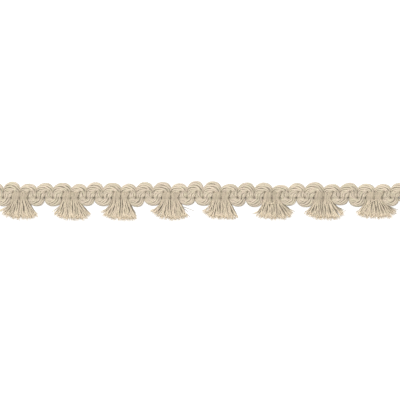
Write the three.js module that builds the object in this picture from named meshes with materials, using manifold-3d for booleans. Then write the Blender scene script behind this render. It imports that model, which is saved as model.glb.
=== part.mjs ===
// Tassel trim: a scalloped gimp braid of thick yarn loops with short cut tassels, lying flat on its back.
// Sizes are millimetres. X runs along the trim, Y across it with the tassels towards -Y, and Z is up.
// The origin is on the flat underside, at the middle of the heading and under one leg of the yarn.

import * as THREE from 'three';
import { mergeVertices } from 'three/addons/utils/BufferGeometryUtils.js';
import Module from 'manifold-3d';

const wasm = await Module();
wasm.setup();

// Driving sizes of the whole trim
const trimLeft = -133.4;
const pieceGap = 0.3;
const stitchRowY = 1.9;

// Driving sizes of the yarn bundle, which runs up and down as one flattened, loosely twisted cord
const bundleAxisZ = 1.7;
const bundleTopZ = 4.0;
const bundleUnderReach = 2.3;
const legTopZ = 3.6;
const legShoulderY = 0.75;
const stitchedTopZ = 2.6;
const cutEndY = -3.6;
const bundleSides = 12;
const ribDepth = 0.09;

// Driving sizes of a loop: 2 is the roundness of an ellipse, and the crest leans towards +X
const loopRoundness = 2.3;
const loopLean = 0.45;
const loopDome = 1.5;
const loopTwist = THREE.MathUtils.degToRad(118);
const loopSteps = 6;

// Driving sizes of a tassel: the head covers two legs of yarn, and the locks fan out below it
const headTopY = stitchRowY - pieceGap;
const headFullTopZ = 3.5;
const headSkirtY = -3.3;
const headSkirtTopZ = 3.25;
const headCleft = 0.7;
const lockRootY = -2.5;
const lockRootReach = 4.1;
const lockBendY = -7.7;
const lockBendSpread = 1.3;
const lockSteps = 3;
const slotRootShare = 0.1;
const slotRootBow = 0.08;
const slotRootStagger = 0.03;
const lockThinning = 0.02;
const lockWave = 0.15;
const lockRootGap = 0.14;
const lockTipGap = 0.55;
const tipCurve = 2.2;
const tipUnevenness = 0.35;

// Driving sizes of a stitch row: one thread over every leg, pulled down between the legs
const threadWidth = 0.65;
const threadThickness = 0.55;
const threadDip = 0.25;
const threadSeatGap = 0.75;
const threadEndInset = 0.6;

// One row for each stretch of yarn, from left to right: the width and crest of each upper loop,
// and the lowest point of each lower loop, which hangs between two upper ones
const stretches = [
  { name: 'gimp_left_end', widths: [10.4, 10.4], crests: [7.5, 8.2], lows: [-7.0] },
  { name: 'gimp_1', widths: [10.4, 10.4, 11.3], crests: [6.9, 7.4, 7.5], lows: [-7.0, -7.0] },
  { name: 'gimp_2', widths: [9.7, 10.4, 11.3], crests: [6.8, 7.9, 7.5], lows: [-6.8, -7.0] },
  { name: 'gimp_3', widths: [9.4, 10.7, 11.3], crests: [6.9, 7.9, 8.0], lows: [-7.4, -6.6] },
  { name: 'gimp_4', widths: [10.1, 10.1, 11.3], crests: [7.2, 8.6, 8.4], lows: [-6.4, -6.7] },
  { name: 'gimp_5', widths: [10.4, 10.4, 11.3], crests: [6.8, 7.7, 7.5], lows: [-7.2, -7.5] },
  { name: 'gimp_6', widths: [10.1, 10.4, 11.6], crests: [6.1, 7.3, 7.9], lows: [-6.7, -7.6] },
  { name: 'gimp_7', widths: [10.4, 11.0, 10.7], crests: [6.7, 7.4, 6.9], lows: [-6.3, -7.4] },
  { name: 'gimp_right_end', widths: [10.1, 10.7], crests: [6.7, 7.4], lows: [-6.9] },
];

// One row for each tassel: how far its fan reaches to each side, at what Y, and its lowest Y
const tassels = [
  { name: 'tassel_1', left: 12.4, leftY: -9.6, right: 10.6, rightY: -13.0, lowY: -15.6 },
  { name: 'tassel_2', left: 10.7, leftY: -11.1, right: 12.4, rightY: -12.3, lowY: -16.0 },
  { name: 'tassel_3', left: 11.8, leftY: -11.1, right: 9.6, rightY: -14.4, lowY: -16.3 },
  { name: 'tassel_4', left: 12.4, leftY: -9.6, right: 10.2, rightY: -13.0, lowY: -15.9 },
  { name: 'tassel_5', left: 11.2, leftY: -10.2, right: 10.2, rightY: -13.8, lowY: -15.6 },
  { name: 'tassel_6', left: 10.7, leftY: -12.0, right: 12.8, rightY: -11.4, lowY: -15.6 },
  { name: 'tassel_7', left: 11.8, leftY: -11.1, right: 13.4, rightY: -10.8, lowY: -15.7 },
  { name: 'tassel_8', left: 10.7, leftY: -10.8, right: 13.8, rightY: -9.8, lowY: -15.2 },
];

// The two layers of locks in a fan: how many, how far the layer reaches, and its height at the root
const lockLayers = [
  { locks: 11, reach: 1, lowZ: 0, topZ: 1.3 },
  { locks: 10, reach: 0.9, lowZ: 1.6, topZ: 2.6 },
];

// Closes a row of rings, each with the same number of points, into one solid with flat ends
function skinRings(rings) {
  const sides = rings[0].length;
  const points = rings.flat();
  const faces = [];
  for (let ring = 0; ring < rings.length - 1; ring += 1) {
    for (let side = 0; side < sides; side += 1) {
      const near = ring * sides + side;
      const nearNext = ring * sides + ((side + 1) % sides);
      const far = near + sides;
      const farNext = nearNext + sides;
      if (points[nearNext].distanceTo(points[far]) < points[near].distanceTo(points[farNext])) {
        faces.push(near, nearNext, far, nearNext, farNext, far);
      } else {
        faces.push(near, nearNext, farNext, near, farNext, far);
      }
    }
  }
  const lastRing = (rings.length - 1) * sides;
  const startCentre = points.push(ringCentre(rings[0])) - 1;
  const endCentre = points.push(ringCentre(rings.at(-1))) - 1;
  for (let side = 0; side < sides; side += 1) {
    const next = (side + 1) % sides;
    faces.push(startCentre, next, side);
    faces.push(endCentre, lastRing + side, lastRing + next);
  }
  const geometry = new THREE.BufferGeometry().setFromPoints(points);
  geometry.setIndex(faces);
  return geometry;
}

function ringCentre(ring) {
  const centre = new THREE.Vector3();
  ring.forEach((point) => centre.add(point));
  return centre.divideScalar(ring.length);
}

// The lines between neighbouring legs, in order along X: every loop's left side and its middle
function gapLines(widths, left) {
  const lines = [left];
  for (const width of widths) {
    const start = lines.at(-1);
    lines.push(start + width / 2, start + width);
  }
  return lines;
}

// A ring of the bundle between its two edges, with raised strands and a flat underside
function bundleRing(station) {
  const ring = [];
  for (let point = 0; point < bundleSides; point += 1) {
    const angle = station.twist + (point / bundleSides) * 2 * Math.PI;
    const rib = point % 2 === 0 ? 1 : 1 - ribDepth;
    const across = 0.5 + 0.5 * rib * Math.cos(angle);
    const reach = Math.sin(angle) > 0 ? station.topZ - bundleAxisZ : bundleUnderReach;
    const height = Math.max(0, bundleAxisZ + reach * rib * Math.sin(angle));
    const place = station.right.clone().lerp(station.left, across);
    ring.push(new THREE.Vector3(place.x, place.y, height));
  }
  return ring;
}

// A half turn of the bundle about the end of the slit at slitX, outwards to outerY
function turnStations(leftX, slitX, rightX, outerY, startTwist) {
  const side = Math.sign(outerY);
  const rowY = side * stitchRowY;
  const stations = [];
  for (let step = 0; step <= loopSteps; step += 1) {
    const share = step / loopSteps;
    const angle = Math.PI * (1 - share);
    const cosine = Math.cos(angle);
    const sine = Math.sin(angle);
    const halfWidth = (cosine < 0 ? slitX - leftX : rightX - slitX) - pieceGap / 2;
    const outer = new THREE.Vector2(
      slitX + loopLean * sine + halfWidth * Math.sign(cosine) * Math.abs(cosine) ** (2 / loopRoundness),
      rowY + (outerY - rowY) * sine ** (2 / loopRoundness),
    );
    const inner = new THREE.Vector2(
      slitX + (pieceGap / 2) * cosine,
      rowY + side * (pieceGap / 2) * sine,
    );
    const rise = Math.min(1, loopDome * sine);
    stations.push({
      left: side > 0 ? outer : inner,
      right: side > 0 ? inner : outer,
      topZ: stitchedTopZ + (bundleTopZ - stitchedTopZ) * rise,
      twist: startTwist + side * loopTwist * (1 - (1 - share) ** 2),
    });
  }
  return stations;
}

// One station of the leg between two gap lines, which the yarn follows upwards or downwards
function legStation(leftX, rightX, y, upwards, topZ, twist) {
  const west = new THREE.Vector2(leftX + pieceGap / 2, y);
  const east = new THREE.Vector2(rightX - pieceGap / 2, y);
  return { left: upwards ? west : east, right: upwards ? east : west, topZ, twist };
}

// A stretch of yarn: half turns above and below, joined by legs, with a plain cut leg at an open end
function gimpGeometry(stretch, left) {
  const lines = gapLines(stretch.widths, left);
  const turns = lines.length - 2;
  const stations = [];
  let twist = 0;
  if (stretch === stretches[0]) {
    stations.push(legStation(lines[0], lines[1], cutEndY, true, stitchedTopZ, twist));
    stations.push(legStation(lines[0], lines[1], -stitchRowY, true, stitchedTopZ, twist));
    stations.push(legStation(lines[0], lines[1], 0, true, legTopZ, twist));
  }
  for (let turn = 0; turn < turns; turn += 1) {
    const upper = turn % 2 === 0;
    const outerY = upper ? stretch.crests[turn / 2] : stretch.lows[(turn - 1) / 2];
    stations.push(...turnStations(lines[turn], lines[turn + 1], lines[turn + 2], outerY, twist));
    twist = stations.at(-1).twist;
    if (turn < turns - 1) {
      const towards = upper ? 1 : -1;
      for (const y of [legShoulderY * towards, -legShoulderY * towards]) {
        stations.push(legStation(lines[turn + 1], lines[turn + 2], y, !upper, legTopZ, twist));
      }
    }
  }
  if (stretch === stretches.at(-1)) {
    const [legLeft, legRight] = lines.slice(-2);
    stations.push(legStation(legLeft, legRight, 0, false, legTopZ, twist));
    stations.push(legStation(legLeft, legRight, -stitchRowY, false, stitchedTopZ, twist));
    stations.push(legStation(legLeft, legRight, cutEndY, false, stitchedTopZ, twist));
  }
  return skinRings(stations.map(bundleRing));
}

// A ring across the head: two rounded legs side by side with a cleft between them
function headRing(centreX, leftReach, rightReach, y, topZ) {
  const profile = [
    [0.82, 0],
    [1, 0.45],
    [0.86, 0.88],
    [0.5, 1],
    [0.14, 0.93],
    [0, 1 - headCleft / topZ],
    [-0.14, 0.93],
    [-0.5, 1],
    [-0.86, 0.88],
    [-1, 0.45],
    [-0.82, 0],
  ];
  return profile.map(([across, height]) => {
    const reach = across > 0 ? rightReach : leftReach;
    return new THREE.Vector3(centreX + across * reach, y, height * topZ);
  });
}

function headGeometry(centreX, leftReach, rightReach) {
  const rows = [
    { y: headTopY, topZ: stitchedTopZ },
    { y: legShoulderY, topZ: headFullTopZ },
    { y: -legShoulderY, topZ: headFullTopZ },
    { y: -stitchRowY, topZ: stitchedTopZ },
    { y: headSkirtY, topZ: headSkirtTopZ },
  ];
  return skinRings(rows.map((row) => headRing(centreX, leftReach, rightReach, row.y, row.topZ)));
}

// The line between two locks: from the head, down past the loops and out to the fan's edge
function partingLine(tassel, centreX, share, layer) {
  const reach = (share < 0 ? tassel.left : tassel.right) * layer.reach;
  const sideY = share < 0 ? tassel.leftY : tassel.rightY;
  const tipY = tassel.lowY + (sideY - tassel.lowY) * Math.abs(share) ** tipCurve;
  const rootX = share * lockRootReach;
  return new THREE.QuadraticBezierCurve(
    new THREE.Vector2(centreX + rootX, lockRootY),
    new THREE.Vector2(centreX + rootX * lockBendSpread, lockBendY),
    new THREE.Vector2(centreX + share * reach, tipY),
  );
}

// A layer of locks: one band with slots cut up into it along the parting lines, thinner towards the tips
function lockLayerGeometry(tassel, order, centreX, layer) {
  const lines = [];
  const roots = [];
  for (let line = 0; line <= layer.locks; line += 1) {
    const share = (2 * line) / layer.locks - 1;
    lines.push(partingLine(tassel, centreX, share, layer));
    roots.push(slotRootShare + slotRootBow * (1 - share ** 2) + (line % 2) * slotRootStagger);
  }
  const outline = [lines.at(-1).getPoint(0), lines[0].getPoint(0)];
  for (let lock = 0; lock < layer.locks; lock += 1) {
    const [west, east] = [lines[lock], lines[lock + 1]];
    const rootMiddle = (roots[lock] + roots[lock + 1]) / 2;
    const shorten = (tipUnevenness * (1 + Math.sin(2.4 * lock + 1.7 * order))) / west.getLength();
    const westSide = [west.getPoint(roots[lock])];
    const eastSide = lock === layer.locks - 1 ? [east.getPoint(roots[lock + 1])] : [];
    for (let step = 1; step <= lockSteps; step += 1) {
      const share = step / lockSteps;
      const along = THREE.MathUtils.lerp(rootMiddle, 1 - shorten, share);
      const westPoint = west.getPoint(along);
      const eastPoint = east.getPoint(along);
      const inset = THREE.MathUtils.lerp(lockRootGap, lockTipGap, share) / 2;
      const across = eastPoint.clone().sub(westPoint).normalize();
      const wave = lockWave * Math.sin(2 * Math.PI * share);
      westSide.push(westPoint.addScaledVector(across, wave + inset));
      eastSide.unshift(eastPoint.addScaledVector(across, wave - inset));
    }
    outline.push(...westSide, ...eastSide);
  }
  const band = new THREE.ExtrudeGeometry(new THREE.Shape(outline), {
    depth: layer.topZ - layer.lowZ,
    bevelEnabled: false,
  });
  band.translate(0, 0, layer.lowZ);
  const position = band.getAttribute('position');
  for (let point = 0; point < position.count; point += 1) {
    const outwards = Math.max(0, headSkirtY - position.getY(point));
    position.setZ(point, position.getZ(point) * (1 - lockThinning * outwards));
  }
  return band;
}

function toManifold(geometry) {
  geometry.deleteAttribute('normal');
  geometry.deleteAttribute('uv');
  const merged = mergeVertices(geometry);
  const vertProperties = new Float32Array(merged.getAttribute('position').array);
  const triVerts = new Uint32Array(merged.getIndex().array);
  return new wasm.Manifold(new wasm.Mesh({ numProp: 3, vertProperties, triVerts }));
}

function fromManifold(solid) {
  const mesh = solid.getMesh();
  const geometry = new THREE.BufferGeometry();
  geometry.setAttribute('position', new THREE.BufferAttribute(mesh.vertProperties, 3));
  geometry.setIndex(new THREE.BufferAttribute(mesh.triVerts, 1));
  return geometry;
}

// A tassel: the head with both layers of locks rooted in it
function tasselGeometry(tassel, order, centreX, leftReach, rightReach) {
  let solid = toManifold(headGeometry(centreX, leftReach, rightReach));
  for (const layer of lockLayers) {
    solid = solid.add(toManifold(lockLayerGeometry(tassel, order, centreX, layer)));
  }
  return fromManifold(solid);
}

// A stitch row along the whole trim: high over the middle of each leg and low between two legs
function stitchGeometry(lines, rowY) {
  const rings = [];
  const addRing = (x, lowZ) => {
    const south = rowY - threadWidth / 2;
    const north = rowY + threadWidth / 2;
    rings.push([
      new THREE.Vector3(x, north, lowZ),
      new THREE.Vector3(x, north, lowZ + threadThickness),
      new THREE.Vector3(x, south, lowZ + threadThickness),
      new THREE.Vector3(x, south, lowZ),
    ]);
  };
  const crownZ = stitchedTopZ + threadSeatGap;
  addRing(lines[0] + threadEndInset, crownZ - threadDip);
  for (let leg = 0; leg < lines.length - 1; leg += 1) {
    addRing((lines[leg] + lines[leg + 1]) / 2, crownZ);
    if (leg < lines.length - 2) {
      addRing(lines[leg + 1], crownZ - threadDip);
    }
  }
  addRing(lines.at(-1) - threadEndInset, crownZ - threadDip);
  return skinRings(rings);
}

// Materials, one function each: every piece gets its own
function gimpYarn() {
  return new THREE.MeshStandardMaterial({ color: 0xcdc0a9, roughness: 0.95, metalness: 0 });
}

function tasselYarn() {
  return new THREE.MeshStandardMaterial({ color: 0xd3c6ac, roughness: 0.95, metalness: 0 });
}

function stitchThread() {
  return new THREE.MeshStandardMaterial({ color: 0xbfb195, roughness: 0.9, metalness: 0 });
}

// The whole trim, from left to right
function buildTrim() {
  const trim = new THREE.Group();
  const addPiece = (name, geometry, material) => {
    const piece = new THREE.Mesh(geometry, material);
    piece.name = name;
    trim.add(piece);
  };
  const allLines = [trimLeft];
  let left = trimLeft;
  stretches.forEach((stretch, order) => {
    addPiece(stretch.name, gimpGeometry(stretch, left), gimpYarn());
    const lines = gapLines(stretch.widths, left);
    allLines.push(...lines.slice(1));
    left = lines.at(-1);
    if (order < tassels.length) {
      const leftReach = lines.at(-1) - lines.at(-2) - pieceGap / 2;
      const rightReach = stretches[order + 1].widths[0] / 2 - pieceGap / 2;
      const tassel = tassels[order];
      addPiece(tassel.name, tasselGeometry(tassel, order, left, leftReach, rightReach), tasselYarn());
    }
  });
  addPiece('stitch_upper', stitchGeometry(allLines, stitchRowY), stitchThread());
  addPiece('stitch_lower', stitchGeometry(allLines, -stitchRowY), stitchThread());
  return trim;
}

export default buildTrim();
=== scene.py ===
"""Looks of a tassel trim: a scalloped gimp braid of cotton yarn with short cut tassels, lying flat."""

import math
from typing import NamedTuple

import bpy
import numpy as np
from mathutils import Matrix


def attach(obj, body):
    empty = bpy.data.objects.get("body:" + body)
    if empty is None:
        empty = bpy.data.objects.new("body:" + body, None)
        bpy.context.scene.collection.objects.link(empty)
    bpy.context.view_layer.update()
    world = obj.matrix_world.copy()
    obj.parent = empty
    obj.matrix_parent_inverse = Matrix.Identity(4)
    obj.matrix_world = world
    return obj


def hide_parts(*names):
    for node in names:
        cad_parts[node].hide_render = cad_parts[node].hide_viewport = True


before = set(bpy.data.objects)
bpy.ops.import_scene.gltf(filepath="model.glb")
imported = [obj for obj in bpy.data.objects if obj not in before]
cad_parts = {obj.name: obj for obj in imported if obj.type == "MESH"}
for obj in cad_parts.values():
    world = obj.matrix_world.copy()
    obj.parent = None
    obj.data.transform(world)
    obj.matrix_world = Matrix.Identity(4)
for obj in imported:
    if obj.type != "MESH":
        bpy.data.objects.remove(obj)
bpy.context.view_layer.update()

# Sizes are millimetres until a mesh is written in metres
MM = 0.001
UP = (0.0, 0.0, 1.0)
TO_THE_RIGHT = (1.0, 0.0, 0.0)

# The photograph shows this much of the trim from side to side, about this point
PHOTO_WIDTH = 251.5
PHOTO_CENTRE_X = 0.5
PHOTO_CENTRE_Y = -3.2
CAMERA_HEIGHT = 1700.0
SENSOR_WIDTH = 36.0
# Nearest and farthest that the camera sees, in metres
CLIP_START = 0.05
CLIP_END = 20.0

# The studio, in metres and watts: a pale floor that glows a little, and one large soft light from above
FLOOR_SIZE = 12.0
FLOOR_Z = -0.0001
WHITE = (1, 1, 1, 1)
FLOOR_FINISH = {
    "Base Color": (0.3, 0.3, 0.3, 1), "Roughness": 0.9, "Emission Color": WHITE, "Emission Strength": 0.72,
}
WORLD_GLOW = 0.35
SOFTBOX_SIZE = 1.6
SOFTBOX_WATTS = 72.0
SOFTBOX_PLACE = (-0.35, 0.45, 2.2)
SOFTBOX_TILT = (math.radians(-11.5), math.radians(-9), 0)

# The trim's own sizes: its left end, its stitch rows, the ends of its cut legs and the bundle's heights
TRIM_LEFT = -133.4
STITCH_ROW_Y = 1.9
CUT_END_Y = -3.6
AXIS_Z = 1.9
LOOP_TOP_Z = 4.1
LEG_TOP_Z = 3.8
ROW_TOP_Z = 3.15

# The form of a loop: how square it is, how far it leans, how soon it has risen and how far its crest bulges
LOOP_ROUNDNESS = 2.3
LOOP_LEAN = 0.45
LOOP_DOME = 1.5
CREST_BULGE = 0.1

# The form of the bundle's section: a low exponent makes it square, and its foot is pressed out
SECTION_EXPONENT = 0.85
FOOT_EXPONENT = 0.5
FOOT_PRESSED = 0.3
# The foot's form turns into the top's between these heights, in shares of half the bundle
FOOT_TO_TOP = (-0.6, 0.2)

# Where the slits between two legs end, and how far the slits of the upper loops lean
UPPER_SLIT_END_Y = 1.5
LOWER_SLIT_END_Y = -1.6
SLIT_SHIFT_AT_TOP = 1.0
SLIT_SHIFT_AT_BOTTOM = -0.3

# The stitch rows draw the legs apart into pits; away from the rows the loops press together in valleys
PINCH_REACH = 0.8
UPPER_PIT_HALF_WIDTH = 0.35
LOWER_PIT_HALF_WIDTH = 0.5
TASSEL_PIT_SHARE = 0.6
SLIT_END_RADIUS = 0.5
UPPER_PRESSED = 0.5
LOWER_PRESSED = 0.15
UPPER_VALLEY_DEPTH = 3.6
LOWER_VALLEY_DEPTH = 2.4
VALLEY_END_EXPONENT = 4

# Painted shade about the stitch rows: how much darker yarn is painted in the pits and lines between two
# legs, and in creases
GIMP_SHADE = {
    "upper_pit_y": 1.9, "upper_pit": 0.2, "lower_pit_y": -1.9, "lower_pit": 0.48,
    "upper_crease": 0.16, "lower_crease": 0.14, "line": 0.22,
}
TASSEL_SHADE = {
    "upper_pit_y": 2.1, "upper_pit": 0.28, "lower_pit_y": -2.3, "lower_pit": 0.34,
    "upper_crease": 0.04, "lower_crease": 0.07, "line": 0.24,
}
PIT_SHADE_REACH = 0.6
LINE_SHADE_REACH = 0.4
LINE_PAST_ROW = 0.5
LINE_FAINTER_BELOW = 0.5
UPPER_CREASE_Y = 1.0
LOWER_CREASE_Y = -2.1
CREASE_REACH = 0.55
# The painted pit shade is darker in the valleys between two lower loops. A tassel has three pits, each with
# a shade strength of its own, and its middle line leans this far to the side on its way to the lower row
VALLEY_PIT_DARKER = 1.35
TASSEL_PIT_DARKNESS = (0.75, 1.05, 1.0)
TASSEL_LINE_SHIFT = -0.6
# The band between the rows and the lower loops get a little painted shade all over, with soft edges
BAND_SHADE = 0.03
BAND_SHADE_EDGE = (-1.2, 0.3)
LOWER_LOOP_SHADE = 0.05
LOWER_LOOP_SHADE_EDGE = (1.9, 2.6)

# Painted shade: how much darker yarn is painted where it faces the inside of its bundle; facing goes from
# -1, inwards, to 1
UPPER_GROOVE_SHADE = 0.46
LOWER_GROOVE_SHADE = 0.32
LOWER_GROOVE_EDGE = (-4.0, -2.0)
BAND_GROOVE_SHARE = 0.55
BAND_GROOVE_EDGE = (-0.2, 0.6)
HEAD_GROOVE_SHADE = 0.3
FAN_GROOVE_SHADE = 0.55
TIP_GROOVE_SHARE = 0.5
GROOVE_FACING = (-0.35, 0.8)

# One row for each stretch of gimp, from left to right: the widths and crests of its upper loops,
# and the lows of its lower ones
STRETCHES = [
    {"node": "gimp_left_end", "widths": (10.4, 10.4), "crests": (7.5, 8.2), "lows": (-7.0,)},
    {"node": "gimp_1", "widths": (10.4, 10.4, 11.3), "crests": (6.9, 7.4, 7.5), "lows": (-7.0, -7.0)},
    {"node": "gimp_2", "widths": (9.7, 10.4, 11.3), "crests": (6.8, 7.9, 7.5), "lows": (-6.8, -7.0)},
    {"node": "gimp_3", "widths": (9.4, 10.7, 11.3), "crests": (6.9, 7.9, 8.0), "lows": (-7.4, -6.6)},
    {"node": "gimp_4", "widths": (10.1, 10.1, 11.3), "crests": (7.2, 8.6, 8.4), "lows": (-6.4, -6.7)},
    {"node": "gimp_5", "widths": (10.4, 10.4, 11.3), "crests": (6.8, 7.7, 7.5), "lows": (-7.2, -7.5)},
    {"node": "gimp_6", "widths": (10.1, 10.4, 11.6), "crests": (6.1, 7.3, 7.9), "lows": (-6.7, -7.6)},
    {"node": "gimp_7", "widths": (10.4, 11.0, 10.7), "crests": (6.7, 7.4, 6.9), "lows": (-6.3, -7.4)},
    {"node": "gimp_right_end", "widths": (10.1, 10.7), "crests": (6.7, 7.4), "lows": (-6.9,)},
]

# One row for each tassel: how far its fan reaches to each side, at what Y, and its lowest Y
TASSELS = [
    {"node": "tassel_1", "left": 12.0, "left_y": -10.3, "right": 10.6, "right_y": -13.0, "low_y": -15.6},
    {"node": "tassel_2", "left": 10.7, "left_y": -11.1, "right": 12.4, "right_y": -12.3, "low_y": -16.0},
    {"node": "tassel_3", "left": 11.8, "left_y": -11.1, "right": 10.0, "right_y": -14.8, "low_y": -16.3},
    {"node": "tassel_4", "left": 12.4, "left_y": -10.3, "right": 10.2, "right_y": -13.0, "low_y": -15.9},
    {"node": "tassel_5", "left": 10.6, "left_y": -10.8, "right": 10.2, "right_y": -13.8, "low_y": -15.6},
    {"node": "tassel_6", "left": 10.0, "left_y": -12.2, "right": 13.2, "right_y": -11.4, "low_y": -15.6},
    {"node": "tassel_7", "left": 11.2, "left_y": -11.4, "right": 13.4, "right_y": -10.8, "low_y": -15.7},
    {"node": "tassel_8", "left": 10.9, "left_y": -11.8, "right": 13.8, "right_y": -10.4, "low_y": -15.2},
]

# Strands of the gimp bundle: an outer ring that shows and a ring just inside it
OUTER_STRANDS = 10
INNER_STRANDS = 8
OUTER_REACH = 1.0
INNER_REACH = 0.6
OUTER_SIDES = 8
INNER_SIDES = 5
STRAND_RADIUS = 0.62
# They fill the bundle's girth, within limits, and are narrower where they cross it aslant
STRAND_FILL = 0.58
STRAND_RADII = (0.5, 0.78)
STRAND_NARROWING = 0.35
STRAND_NARROWEST = 0.74
STRAND_TONES = (0.93, 1.06)
INNER_THICKER = 1.15
# The inner strands are painted darker, as painted shade deep inside the bundle
INNER_PAINTED_SHADE_TONE = 0.7
# Strands face up rather than sideways by this factor
FACING_UP = 1.3
# How far a strand's way leans from its bundle's where a loop begins and where it ends
UPPER_LOOP_LEANS = (math.radians(68), math.radians(-32))
LOWER_LOOP_LEANS = (math.radians(78), math.radians(-20))
LEG_TURN = math.radians(40)
TURN_STEPS = 28
LEG_STEPS = 8

# The three layers of a tassel, from the top down: how thick their plies are, how high they lie in the legs
# and how far they reach over the lines between legs. In the fan: how high they come to rest, how wide the
# layer is, how far they stray, their tone as painted light and shade, their painted groove shade and which
# way they face
LAYERS = [
    {"radius": 0.28, "height": 1.0, "overlap": 0.0, "rest_z": 1.45, "width": 1.0, "straying": 0.02,
     "tone": 1.13, "groove_shade": 1.0, "face": 1.0},
    {"radius": 0.33, "height": 0.62, "overlap": 0.5, "rest_z": 0.95, "width": 0.96, "straying": 0.025,
     "tone": 0.56, "groove_shade": 1.05, "face": 1.0},
    {"radius": 0.46, "height": 0.2, "overlap": 1.0, "rest_z": 0.45, "width": 0.91, "straying": 0.012,
     "tone": 0.85, "groove_shade": 0.85, "face": -1.0},
]
# The yarns of a tassel by layer, from left to right, and the plies of each yarn
YARN_LAYERS = np.tile([0, 2, 1], 12)
YARN_PLIES = 3
PLY_SIDES = 6
# Places across a tassel go from -1 to 1: where the outermost yarns lie, and how far yarns and plies shift
OUTERMOST_YARN = 0.96
YARN_SHIFT = 0.01
PLY_SPREAD = 0.03

# The legs of a tassel: where they start and how they sink there, and how their crown is arched
TASSEL_LEG_STEPS = 8
TASSEL_ROW_TOP_Z = 3.45
LEG_START_Y = 2.3
LEG_START_DROP = 0.35
LEG_START_EDGE = (1.3, 2.3)
LEG_ARCH = 0.18
LEG_ARCH_EXPONENT = 2.5

# The fan of a tassel: where its outermost plies bend, how much higher the middle ones do, and its rim
FAN_STEPS = 22
FAN_LEFT_BEND_X = 5.9
FAN_RIGHT_BEND_X = 6.8
FAN_BEND_Y = -6.6
FAN_MIDDLE_BEND_SHARE = 0.6
FAN_WIDER = 0.5
FAN_SIDE_DROP = 0.8
FAN_LOW_PLACE = 0.3
FAN_TIP_CURVE = 3.6
FAN_TIPS_SHORTER = (0.6, 2.25)
PLY_STRAYING_SHARE = 0.5
# It falls to its resting height a little early, and its outermost plies rest lower
FAN_FALL_EXPONENT = 0.8
FAN_RIM_SAG = 0.5
FAN_RIM_EDGE = (0.75, 1.0)

# Plies swell below the rows and thin out towards their ends; what is loose goes from 0 at the row to 1
HEAD_SWELLING = 0.22
HEAD_SWELLING_PLACE = 0.12
HEAD_SWELLING_REACH = 0.12
PLY_END_SHARE = 0.3
PLY_END_TAPER = 2.4
PLY_TIP_SPREAD = 0.48
PLY_TIP_SPREAD_EXPONENT = 8
FREEDOM_EDGE = (0.0, 0.4)

# How light a tassel is in its head, and the painted light at its tips, with the layers' painted shade and
# light between
TASSEL_TONE = 0.915
HEAD_TONE = 0.94
PAINTED_TIP_LIGHT = 1.46
YARN_TONES = (0.88, 1.08)
OPENED_EDGE = (0.05, 0.4)
PAINTED_TIP_LIGHT_EDGE = (0.7, 1.1)
TIP_GROOVE_EDGE = (0.8, 1.05)

# The fibres of a ply's cut end: how many, from how far back, and how they spread and end
FRAY_FIBRES = 5
FRAY_STEPS = 6
FRAY_SIDES = 4
FRAY_LENGTH = 3.2
FRAY_BEYOND = (-0.4, 1.7)
FRAY_FIRST_SPREAD = 0.1
FRAY_SPREADS = (0.0, 0.95)
FRAY_FLATNESS = 0.6
FRAY_LOWEST_Z = 0.1
FRAY_RADII = (0.09, 0.04)
# The fibres are painted much lighter, as painted light at the cut ends
PAINTED_FRAY_LIGHT = 1.6
FRAY_TONES = (0.92, 1.05)

# Loose plies, dark ones beside the fans and light ones across them. One row for each: its tassel and kind,
# and its start, bend and end from the tassel's middle
LOOSE_PLY_TONES = {"dark": 0.62, "light": 1.3}
LOOSE_PLIES = [
    ("tassel_4", "dark", (7.0, -7.3, 0.9), (10.7, -8.3, 0.6), (14.4, -10.1, 0.3)),
    ("tassel_4", "dark", (7.6, -8.3, 0.9), (9.3, -9.2, 0.6), (11.0, -10.9, 0.3)),
    ("tassel_4", "dark", (8.8, -11.2, 0.9), (10.4, -12.2, 0.6), (12.0, -13.9, 0.3)),
    ("tassel_6", "dark", (8.2, -8.2, 0.9), (11.2, -9.0, 0.6), (14.2, -10.6, 0.3)),
    ("tassel_6", "light", (-4.9, -4.1, 3.2), (-0.6, -7.0, 3.0), (2.7, -4.0, 3.3)),
    ("tassel_6", "light", (-3.9, -5.3, 3.0), (0.4, -5.9, 3.1), (2.2, -3.7, 3.3)),
    ("tassel_6", "light", (-1.8, -4.2, 3.2), (1.0, -6.4, 3.0), (3.2, -4.9, 3.1)),
    ("tassel_7", "dark", (7.8, -7.2, 0.9), (11.2, -8.3, 0.6), (14.6, -10.2, 0.3)),
    ("tassel_8", "dark", (7.6, -6.8, 0.9), (11.5, -7.8, 0.6), (15.4, -9.6, 0.3)),
    ("tassel_8", "dark", (8.8, -9.4, 0.9), (11.7, -10.4, 0.6), (14.6, -12.2, 0.3)),
    ("tassel_8", "light", (1.4, -3.1, 3.3), (-3.3, -4.0, 3.4), (-4.5, -7.8, 2.7)),
]
LOOSE_PLY_STEPS = 9
LOOSE_PLY_SIDES = 5
LOOSE_PLY_RADII = (0.21, 0.13)
# The loose plies' painted groove shade
LOOSE_PLY_GROOVE_SHADE = 0.3

# Fine loose fibres that stand off the yarn: how much they head away from it and astray, first and last
FUZZ_PER_LOOP = 22
FUZZ_PER_TASSEL = 60
FUZZ_STEPS = 5
FUZZ_SIDES = 3
FUZZ_LENGTHS = (0.8, 2.4)
FUZZ_RADIUS = 0.028
FUZZ_TIP_SHARE = 0.5
FUZZ_FOOT_SHARE = 0.8
FUZZ_LOWEST_Z = 0.05
FUZZ_TONE = 1.1
FUZZ_FIRST = {"away": 0.5, "stray": 0.4}
FUZZ_LAST = {"away": 0.9, "stray": 0.9}

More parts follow.
